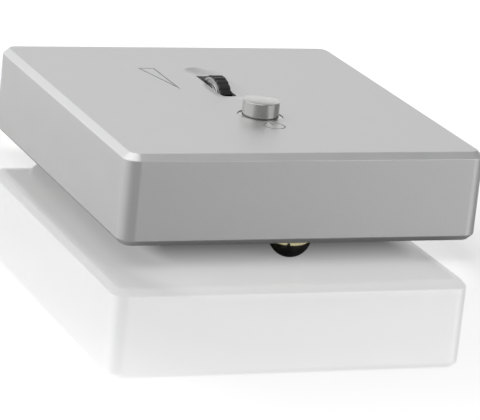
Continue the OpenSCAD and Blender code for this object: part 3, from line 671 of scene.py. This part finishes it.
finish_piece(build_button(), "power_button", "turned_aluminium", "power_button")

# %% [markdown]
# The button is pushed back up by a spring of round steel wire, wound in four turns round the switch's plunger. A
# small circle is spun about the plunger and climbs a little at every step. On the real switch the button shortens
# the spring as it goes down. The spring's foot is taken from the button's joint in the measured model.

# %% Wind the return spring
PRESS = next(joint for joint in frame["joints"] if joint["name"] == "power_press")
SPRING_FOOT = PRESS["deforming_nodes"][0]["fixed_end_z_m"]
SPRING_LOW, SPRING_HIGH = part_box("switch_spring")
SPRING_MID = (SPRING_LOW + SPRING_HIGH) / 2
SPRING_LONG = 2 * (SPRING_MID.z - SPRING_FOOT)
WIRE_R, WIRE_SIDES, TURNS, STEPS_A_TURN = 0.25 * MM, 12, 4, 36


def build_spring():
    bm = bmesh.new()
    coil_r = (SPRING_HIGH.x - SPRING_LOW.x) / 2 - WIRE_R
    ring = bmesh.ops.create_circle(bm, segments=WIRE_SIDES, radius=WIRE_R)["verts"]
    bmesh.ops.rotate(bm, cent=(0, 0, 0), matrix=Matrix.Rotation(math.pi / 2, 3, "X"), verts=ring)
    bmesh.ops.translate(bm, vec=(SPRING_MID.x + coil_r, SPRING_MID.y, SPRING_FOOT + WIRE_R),
                        verts=ring)
    climb = (SPRING_LONG - 2 * WIRE_R) / (TURNS * STEPS_A_TURN)
    bmesh.ops.spin(bm, geom=ring + bm.edges[:], cent=(SPRING_MID.x, SPRING_MID.y, 0),
                   axis=(0, 0, 1), dvec=(0, 0, climb), angle=TURNS * math.tau,
                   steps=TURNS * STEPS_A_TURN)
    bmesh.ops.holes_fill(bm, edges=[e for e in bm.edges if e.is_boundary], sides=WIRE_SIDES)
    bmesh.ops.recalc_face_normals(bm, faces=bm.faces)
    return to_object("switch_spring_wound", bm, STEEL, angle=50)


SPRING = finish_piece(build_spring(), "root", "bright_steel", "switch_spring")
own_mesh(SPRING)
print("spring", round(SPRING_LONG / MM, 2), "mm long")

# %% [markdown]
# ## The feet
# Each foot is a clear smoky bumper: a short straight side, and a dome with a flat at the end that
# it stands on. Glass-like plastic needs a closed shape with smooth sides, or light can't bend
# through it as it should, so the foot is one chain, spun. The dome is part of a circle through the
# end of the side and the edge of the flat.

# %% Mould the feet
FOOT_SIDE, FOOT_FLAT_R, DOME_STEPS = 1.2, 1.5, 28


def build_foot(node):
    low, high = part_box(node)
    centre = Vector(((low.x + high.x) / 2, (low.y + high.y) / 2, high.z))
    height, foot_r = (high.z - low.z) / MM, (high.x - low.x) / 2 / MM
    dome = height - FOOT_SIDE
    rise = (foot_r ** 2 - FOOT_FLAT_R ** 2 - dome ** 2) / (2 * dome)
    ball = math.hypot(foot_r, rise)
    first, last = math.asin(rise / ball), math.asin((rise + dome) / ball)
    sweep = [first + (last - first) * i / DOME_STEPS for i in range(DOME_STEPS + 1)]
    chain = [(0, 0), (foot_r, 0)]
    chain += [(ball * math.cos(a), rise - FOOT_SIDE - ball * math.sin(a)) for a in sweep]
    chain += [(0, -height)]
    return turned_object(node + "_moulded", SMOKED, chain, "Z", centre, angle=30)


for node in ("foot_front", "foot_rear_left", "foot_rear_right"):
    finish_piece(build_foot(node), "root", "smoked_rubber", node)

# %% [markdown]
# ## The sockets
# A phono socket is four turned or moulded pieces in one another: a black moulding with a collar
# in the panel's hole, a plated barrel, a coloured insulator that tells left from right, and the
# sleeve in the middle. The four differ only in place and colour, so one function makes a set.

# %% Make the phono sockets
MOULD_GAP, MOULD_SOFT = 0.3 * MM, 0.3 * MM


def moulded_block(node):
    """A moulded block behind the back wall, as a bmesh."""
    low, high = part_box(node)
    bm = bmesh.new()
    add_block(bm, low, (high.x, BACK - WALL - MOULD_GAP, high.z))
    soften(bm, MOULD_SOFT)
    return bm


def build_socket(jack, colour, slot):
    base = Vector((middle(jack + "_barrel").x, BACK, SOCKET_Z))
    collar = [(0.2, -4), (5.0, -4), (5.0, 0.35), (4.75, 0.6), (4.0, 0.6), (4.0, -1.6), (0.2, -1.6)]
    barrel = [(3.6, -1.6), (3.95, -1.6), (3.95, 0.6), (4.15, 0.6), (4.15, 8.9), (3.95, 9.5),
              (3.75, 9.5), (3.6, 9.3)]
    insert = [(2.1, -1.4), (3.55, -1.4), (3.55, 9.0), (3.0, 9.0), (2.9, 8.6), (2.3, 8.6),
              (2.1, 8.4)]
    contact = [(0, 0.2), (2.05, 0.2), (2.05, 8.8), (1.9, 9.0), (1.75, 9.0), (1.65, 8.7),
               (1.65, 1.0), (0, 1.0)]
    bm = moulded_block(jack + "_body")
    turn_on_lathe(bm, collar, "Y", base)
    moulding = to_object(jack + "_moulding", bm, BLACK_MOULD)
    finish_piece(moulding, "root", "black_moulding", jack + "_body")
    for name, material, finish, node, chain in (
            ("_shell", GOLD, "gold_plate", "_barrel", barrel),
            ("_insulator", colour, slot, "_insert", insert),
            ("_sleeve", GOLD, "gold_plate", "_contact", contact)):
        obj = turned_object(jack + name, material, chain, "Y", base)
        finish_piece(obj, "root", finish, jack + node)


for jack in JACKS:
    if jack.endswith("right"):
        build_socket(jack, RED_MOULD, "red_plastic")
    else:
        build_socket(jack, WHITE_MOULD, "white_plastic")

# %% [markdown]
# ## The power inlet and the earth post
# The inlet is a moulded block with a round nose in the panel's hole and a steel pin in the middle.
# The nose and the plug's hole are turned shapes. A Boolean joins one to the block and takes the
# other out of it, which gives clean round edges.

# %% Make the inlet
def build_inlet():
    base = Vector((INLET.x, BACK, SOCKET_Z))
    hole = [(0, -9.5), (3.1, -9.5), (3.1, 1.0), (0, 1.0)]
    nose = [(3.1, -3), (4.2, -3), (4.2, -0.25), (4.0, 0), (3.35, 0), (3.1, -0.25)]
    pin = [(0, -11.5), (1.35, -11.5), (1.35, -9.5), (1.0, -9.4), (1.0, -1.5), (0.6, -1), (0, -1)]
    block = to_object("inlet_moulding", moulded_block("inlet_body"), BLACK_MOULD)
    cut(block, turned_object("plug_hole", BLACK_MOULD, hole, "Y", base, steps=72))
    cut(block, turned_object("inlet_nose", BLACK_MOULD, nose, "Y", base), "UNION")
    resharpen(block, 25)
    finish_piece(block, "root", "black_moulding", "inlet_body")
    finish_piece(turned_object("inlet_centre_pin", STEEL, pin, "Y", base, steps=48),
                 "root", "bright_steel", "inlet_pin")


build_inlet()

# %% [markdown]
# The earth post is a gold plated screw with a flange, a washer and a thumb nut, all turned. The
# thread is a zigzag in the chain, because rings look like a thread at this size and a helix costs
# more. The nut's grip is made like the tyre's ribs, by pulling points in between the flutes.

# %% Turn the earth post
POST_BASE = Vector((POST.x, BACK, SOCKET_Z))
BRIGHT_GOLD = turned_finish("turned_gold", POST_BASE, (math.radians(90), 0, 0),
                            (0.80, 0.58, 0.24), (0.93, 0.72, 0.36), (0.14, 0.26), 1500.0, 0.1)
THREAD_R, THREAD_DEEP, THREAD_START, THREAD_STEP, THREAD_POINTS = 1.98, 0.2, 6.95, 0.35, 11
NUT_R, FLUTES, STEPS_A_FLUTE, FLUTE_GAP, FLUTE_DEEP = 3.98, 24, 8, 0.3, 0.3


def ends_along_post(node):
    """Where a node starts and ends along the post, in millimetres from the case's back."""
    return [(corner.y - BACK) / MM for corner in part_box(node)]


def build_post():
    thread = [(THREAD_R - THREAD_DEEP * (i % 2), THREAD_START + THREAD_STEP * i)
              for i in range(THREAD_POINTS)]
    chain = [(0, -6.4), (2, -6.4), (2, 0), (4, 0), (4, 0.85), (3.85, 1), (2, 1), (2, 6.8), *thread,
             (1.6, 11), (0, 11)]
    return turned_object("earth_post_turned", BRIGHT_GOLD, chain, "Y", POST_BASE, steps=72)


def build_washer():
    y0, y1 = ends_along_post("earth_washer")
    chain = [(2.05, y0), (3.6, y0), (3.7, y0 + 0.1), (3.7, y1 - 0.1), (3.6, y1), (2.05, y1)]
    return turned_object("earth_washer_turned", GOLD, chain, "Y", POST_BASE, steps=72)


def build_nut():
    y0, y1 = ends_along_post("earth_nut")
    chain = [(2.05, y0), (3.6, y0), (NUT_R, y0 + 0.4), (NUT_R, y1 - 0.4), (3.6, y1), (2.6, y1),
             (2.4, y1 - 0.2), (2.05, y1 - 0.2)]
    bm = bmesh.new()
    turn_on_lathe(bm, chain, "Y", POST_BASE, steps=FLUTES * STEPS_A_FLUTE)
    pull_grooves(bm, "Y", POST_BASE, NUT_R - 0.08, FLUTES, FLUTE_GAP, FLUTE_DEEP)
    return to_object("earth_nut_fluted", bm, BRIGHT_GOLD, angle=20)


finish_piece(build_post(), "root", "gold_plate", "earth_post")
finish_piece(build_washer(), "earth_washer", "gold_plate", "earth_washer")
finish_piece(build_nut(), "earth_nut", "gold_plate", "earth_nut")

# %% [markdown]
# ## The pieces inside and underneath
# The other pieces are boxes, plates, screws and chips, which the measured model already draws as
# they are. Its meshes are loose triangles, so a copy of each is merged, its flat areas are
# joined into single faces, and its sharp edges get a small bevel.

# %% Refine the measured shapes
def refine(node, material, slot, width):
    """A merged, bevelled copy of a CAD node, riding on the node's own body."""
    bm = bmesh.new()
    bm.from_mesh(frame["nodes"][node].data)
    bmesh.ops.remove_doubles(bm, verts=bm.verts, dist=2e-6)
    bmesh.ops.dissolve_limit(bm, angle_limit=math.radians(1), verts=bm.verts, edges=bm.edges)
    bmesh.ops.recalc_face_normals(bm, faces=bm.faces)
    if width > 0:
        soften(bm, width * MM, angle=40)
    body = next(name for name, nodes in BODY_NODES.items() if node in nodes)
    return finish_piece(to_object(node + "_refined", bm, material, angle=30), body, slot, node)


BODY_NODES = frame["record"]["behaviour"]["bodies"]
print("nodes of the wheel:", BODY_NODES["volume_wheel"])

# %% [markdown]
# The circuit board is resin under a green lacquer, and the copper tracks below it show as slightly
# paler, raised lines. A brick pattern gives the straight tracks: its mortar mask tints the colour
# and drives the bump.

# %% Make the board's material
TRACK_COLOUR = (0.03, 0.17, 0.06)


def make_board_material():
    board = grained("solder_resist", (0.006, 0.060, 0.026), (0.012, 0.095, 0.042), (0.22, 0.38),
                    scale=1500.0, cloud=500.0, bump=0.3)
    tree = board.node_tree
    place = add_node(tree, "TexCoord")
    tracks = add_node(tree, "TexBrick", Scale=90.0, Mortar_Size=0.035, Mortar_Smooth=0.1)
    copper = add_colour_mix(tree, NOTHING, TRACK_COLOUR)
    link(tree, (place, "Object", tracks, "Vector"), (tracks, "Fac", copper, "Factor"),
         (tree.nodes["Mix"], MIX_OUT, copper, MIX_A),
         (copper, MIX_OUT, tree.nodes["Principled BSDF"], "Base Color"),
         (tracks, "Fac", tree.nodes["Bump"], "Height"))
    return board


BOARD = make_board_material()
print("board material nodes:", len(BOARD.node_tree.nodes))

# %% [markdown]
# Each of these nodes gets a material, the slot that its finish comes from, and the width of its
# bevel in millimetres. The thin board and the small resistors keep their edges as they are.

# %% Dress the remaining nodes
DRESS = {
    "base_plate": (PLATE, "black_plate", 0.1), "base_screws": (BLACK_STEEL, "black_steel", 0.06),
    "circuit_board": (BOARD, "green_board", 0.0), "board_standoffs": (BRASS, "brass", 0.1),
    "board_screws": (STEEL, "bright_steel", 0.1), "volume_shaft": (STEEL, "bright_steel", 0.1),
    "volume_control_body": (BLACK_MOULD, "black_moulding", 0.2),
    "switch_body": (BLACK_MOULD, "black_moulding", 0.2),
    "switch_plunger": (WHITE_MOULD, "white_plastic", 0.15),
    "earth_inner_nut": (GOLD, "gold_plate", 0.1),
    "selector_body": (BLACK_MOULD, "black_moulding", 0.1),
    "selector_key": (WHITE_MOULD, "white_plastic", 0.15),
    "op_amps": (BLACK_MOULD, "black_moulding", 0.12),
    "film_capacitors": (RED_FILM, "red_film", 0.3),
    "smoothing_capacitors": (BLUE_SLEEVE, "blue_sleeve", 0.1),
    "resistors": (BLUE_LACQUER, "blue_lacquer", 0.0),
    "voltage_regulator": (BLACK_MOULD, "black_moulding", 0.12),
    "mute_relay": (WHITE_MOULD, "white_plastic", 0.3),
}
for node, (material, slot, width) in DRESS.items():
    refine(node, material, slot, width)
print("refined", len(DRESS), "nodes")

# %% [markdown]
# ## The studio
# The object stands on a glossy white table that mirrors it faintly. The table is a single large face just under
# the feet. It isn't part of the object. Rays from the camera or through glass find white paint that glows, and the
# glow is painted light and shade laid out around the case: it is least under the case, which deepens the real
# shadow there with painted shade, more just outside it as a painted lighter band, little where the table mirrors
# the case as a painted dark band, and most far out, so that the table fades into white. Every other ray finds grey
# paint and no glow, so the metal mirrors a dimmer table, which paints shade into the case's front. Seen from
# below, the table is clear.

# %% Lay the table
TABLE_HALF, TABLE_DROP = 3.0, 0.05 * MM
TABLE_GLOSS, COAT_GLOSS = 0.04, 0.03
# PAINT_MIRRORED is painted shade: mirrored rays see a darker table than the camera does, so the case's front comes
# out darker.
PAINT_SEEN, PAINT_MIRRORED = (0.95, 0.95, 0.95), (0.46, 0.46, 0.46)
UNDER_EDGE, SIDE_STRETCH = 16 * MM, 2.2
# The glow by distance is painted light and shade: a painted shadow under the case, a painted lighter band near its
# edge, and a painted dark band where the table mirrors the case.
PAINTED_GLOW_STOPS = ((0, 0.10), (13, 0.35), (29, 0.24), (38, 0.12), (65, 0.12), (88, 0.15), (210, 0.50))


def seen_directly(tree, path):
    """1 for a ray from the camera or through glass, and 0 for any other."""
    direct = add_node(tree, "Math", "MAXIMUM")
    link(tree, (path, "Is Camera Ray", direct, 0), (path, "Is Transmission Ray", direct, 1))
    return direct


def distance_outside(tree):
    """How far a point of the table is outside the case's painted dark middle, stretched at the sides."""
    half = (CASE_W / 2 - UNDER_EDGE, CASE_D / 2 - UNDER_EDGE, 0)
    spot = add_node(tree, "TexCoord").outputs["Object"]
    for operation, value in (("SUBTRACT", (MID_X, MID_Y, 0)), ("ABSOLUTE", NOTHING),
                             ("SUBTRACT", half), ("MAXIMUM", NOTHING),
                             ("MULTIPLY", (SIDE_STRETCH, 1, 0)), ("LENGTH", NOTHING)):
        step = add_node(tree, "VectorMath", operation)
        step.inputs[1].default_value = value
        tree.links.new(spot, step.inputs[0])
        spot = step.outputs["Value" if operation == "LENGTH" else "Vector"]
    return spot


def painted_glow_levels(tree):
    """A colour ramp that turns that distance into the strength of the glow, which paints light and shade."""
    reach = PAINTED_GLOW_STOPS[-1][0]
    along = add_node(tree, "MapRange", From_Max=reach * MM)
    levels = add_node(tree, "ValToRGB")
    stops = levels.color_ramp.elements
    stops[0].color, stops[1].color = [(level, level, level, 1) for _, level in
                                      (PAINTED_GLOW_STOPS[0], PAINTED_GLOW_STOPS[-1])]
    for distance, level in PAINTED_GLOW_STOPS[1:-1]:
        stops.new(distance / reach).color = (level, level, level, 1)
    tree.links.new(distance_outside(tree), along.inputs["Value"])
    link(tree, (along, "Result", levels, "Fac"))
    return levels


def make_table_material():
    material = bpy.data.materials.new("white_table")
    material.use_nodes = True
    tree = material.node_tree
    shader = set_inputs(tree.nodes["Principled BSDF"], Roughness=TABLE_GLOSS, Coat_Weight=1.0,
                        Coat_Roughness=COAT_GLOSS)
    direct, levels = seen_directly(tree, add_node(tree, "LightPath")), painted_glow_levels(tree)
    paint = add_colour_mix(tree, PAINT_MIRRORED, PAINT_SEEN)
    share, glow = add_node(tree, "Math", "MULTIPLY"), add_node(tree, "Emission")
    lit, clear = add_node(tree, "AddShader"), add_node(tree, "BsdfTransparent")
    under, sides = add_node(tree, "NewGeometry"), add_node(tree, "MixShader")
    link(tree, (direct, "Value", paint, "Factor"), (paint, MIX_OUT, shader, "Base Color"),
         (direct, "Value", share, 0), (levels, "Color", share, 1),
         (share, "Value", glow, "Strength"), (shader, "BSDF", lit, 0), (glow, "Emission", lit, 1),
         (under, "Backfacing", sides, "Fac"), (lit, "Shader", sides, 1), (clear, "BSDF", sides, 2),
         (sides, "Shader", tree.nodes["Material Output"], "Surface"))
    return material


def build_table():
    bm = bmesh.new()
    bmesh.ops.create_grid(bm, x_segments=1, y_segments=1, size=TABLE_HALF)
    bmesh.ops.translate(bm, vec=(0, 0, -TABLE_DROP), verts=bm.verts)
    table = to_object("table", bm, make_table_material())
    return table


TABLE = build_table()
print("table laid at", round(TABLE.data.vertices[0].co.z / MM, 3), "mm")

# %% [markdown]
# The room is white low behind the object, a little to the left, and dim everywhere else, as in a studio with one
# lit wall. Metal shows what is around it: the top mirrors the lit wall, and the front mirrors the dim side that
# the camera is on and the table's grey paint, so it comes out darker; that grey paint is painted shade. A ray's
# direction gives its brightness. Rays from the camera or through glass always get plain white, and mirrored rays
# fade into it at the wall.

# %% Light the room
ROOM_DIM, ROOM_BRIGHT = 0.35, 1.0
ROOM_LEAN = -0.6
WALL_BEHIND, WALL_TOP = (-0.35, 0.75), (0.24, 0.52)
WHITE = (1.0, 1.0, 1.0, 1.0)


def ramp(tree, span, levels=(0.0, 1.0)):
    """A smooth step from one level to another, over a span of values."""
    step = add_node(tree, "MapRange", From_Min=span[0], From_Max=span[1], To_Min=levels[0],
                    To_Max=levels[1])
    step.interpolation_type = "SMOOTHSTEP"
    return step


def build_world():
    world = bpy.data.worlds.new("studio")
    bpy.context.scene.world = world
    world.use_nodes = True
    tree = world.node_tree
    sky = set_inputs(tree.nodes["Background"], Color=WHITE)
    plain = add_node(tree, "Background", Color=WHITE)
    place, split = add_node(tree, "TexCoord"), add_node(tree, "SeparateXYZ")
    lean = add_node(tree, "Math", "MULTIPLY_ADD")
    lean.inputs[1].default_value = ROOM_LEAN
    behind, below = ramp(tree, WALL_BEHIND), ramp(tree, WALL_TOP, (1.0, 0.0))
    wall = add_node(tree, "Math", "MULTIPLY")
    level = ramp(tree, (0.0, 1.0), (ROOM_DIM, ROOM_BRIGHT))
    path = add_node(tree, "LightPath")
    direct = seen_directly(tree, path)
    shiny, white = add_node(tree, "Math", "MULTIPLY"), add_node(tree, "Math", "MAXIMUM")
    choose = add_node(tree, "MixShader")
    link(tree, (place, "Generated", split, "Vector"), (split, "X", lean, 0), (split, "Y", lean, 2),
         (lean, "Value", behind, "Value"), (split, "Z", below, "Value"),
         (behind, "Result", wall, 0), (below, "Result", wall, 1), (wall, "Value", level, "Value"),
         (level, "Result", sky, "Strength"), (path, "Is Glossy Ray", shiny, 0),
         (wall, "Value", shiny, 1), (direct, "Value", white, 0), (shiny, "Value", white, 1),
         (white, "Value", choose, "Fac"), (sky, "Background", choose, 1),
         (plain, "Background", choose, 2),
         (choose, "Shader", tree.nodes["World Output"], "Surface"))


build_world()
print("world:", bpy.context.scene.world.name)

# %% [markdown]
# Area lamps are softboxes, and the camera doesn't see them. The large one overhead lights the
# table and the top, the one low at the back left brightens the left side, and the one at the front
# right lights the front and the button's side.

# %% Set the lamps
def softbox(name, place, aim, size, watts):
    lamp = bpy.data.lights.new(name, "AREA")
    lamp.shape, lamp.size, lamp.size_y, lamp.energy = "RECTANGLE", *size, watts
    obj = new_object(name, lamp)
    obj.location = place
    obj.rotation_euler = (Vector(aim) - Vector(place)).to_track_quat("-Z", "Y").to_euler()
    obj.visible_camera = False


softbox("overhead_box", (-0.45, 0.15, 0.9), (0, 0, 0), (1.6, 1.6), 7.5)
softbox("left_box", (-0.68, 0.52, 0.12), (0, 0, 0.015), (0.9, 0.25), 0.22)
softbox("right_box", (0.52, -0.54, 0.22), (0, 0, 0.015), (0.6, 0.3), 0.8)

# %% [markdown]
# ## The camera
# The picture is taken with a long lens from the left and slightly above. The place and the turn
# are written as numbers about the case's middle, because a long lens is sensitive to both.

# %% Place the camera
SENSOR_WIDE, PICTURE_PIXELS = 36.0, 480


def place_camera(azimuth, elevation, roll, focal_px, slide, distance):
    a, e, r = (math.radians(v) for v in (azimuth, elevation, roll))
    back = Vector((math.sin(a) * math.cos(e), -math.cos(a) * math.cos(e), math.sin(e)))
    right = Vector((0, 0, 1)).cross(back).normalized()
    up = back.cross(right)
    across = math.cos(r) * right + math.sin(r) * up
    upward = -math.sin(r) * right + math.cos(r) * up
    centre = (CASE_LOW + CASE_HIGH) / 2
    data = bpy.data.cameras.new("camera")
    data.sensor_width, data.lens = SENSOR_WIDE, focal_px * SENSOR_WIDE / PICTURE_PIXELS
    camera = new_object("camera", data)
    turn = Matrix((across, upward, back)).transposed()
    spot = centre + across * slide[0] * MM + upward * slide[1] * MM + back * distance * MM
    camera.matrix_world = Matrix.Translation(spot) @ turn.to_4x4()
    data.clip_start, data.clip_end = 0.05, 20
    bpy.context.scene.camera = camera
    return camera


CAMERA = place_camera(azimuth=-22.97, elevation=16.43, roll=6.05, focal_px=3055,
                      slide=(2.01, -16.15), distance=705)
print("camera at", [round(v, 3) for v in CAMERA.location], "lens", round(CAMERA.data.lens, 1))

# %% [markdown]
# The Standard view transform shows colours as they are written.

# %% Finish
bpy.context.scene.view_settings.view_transform = "Standard"
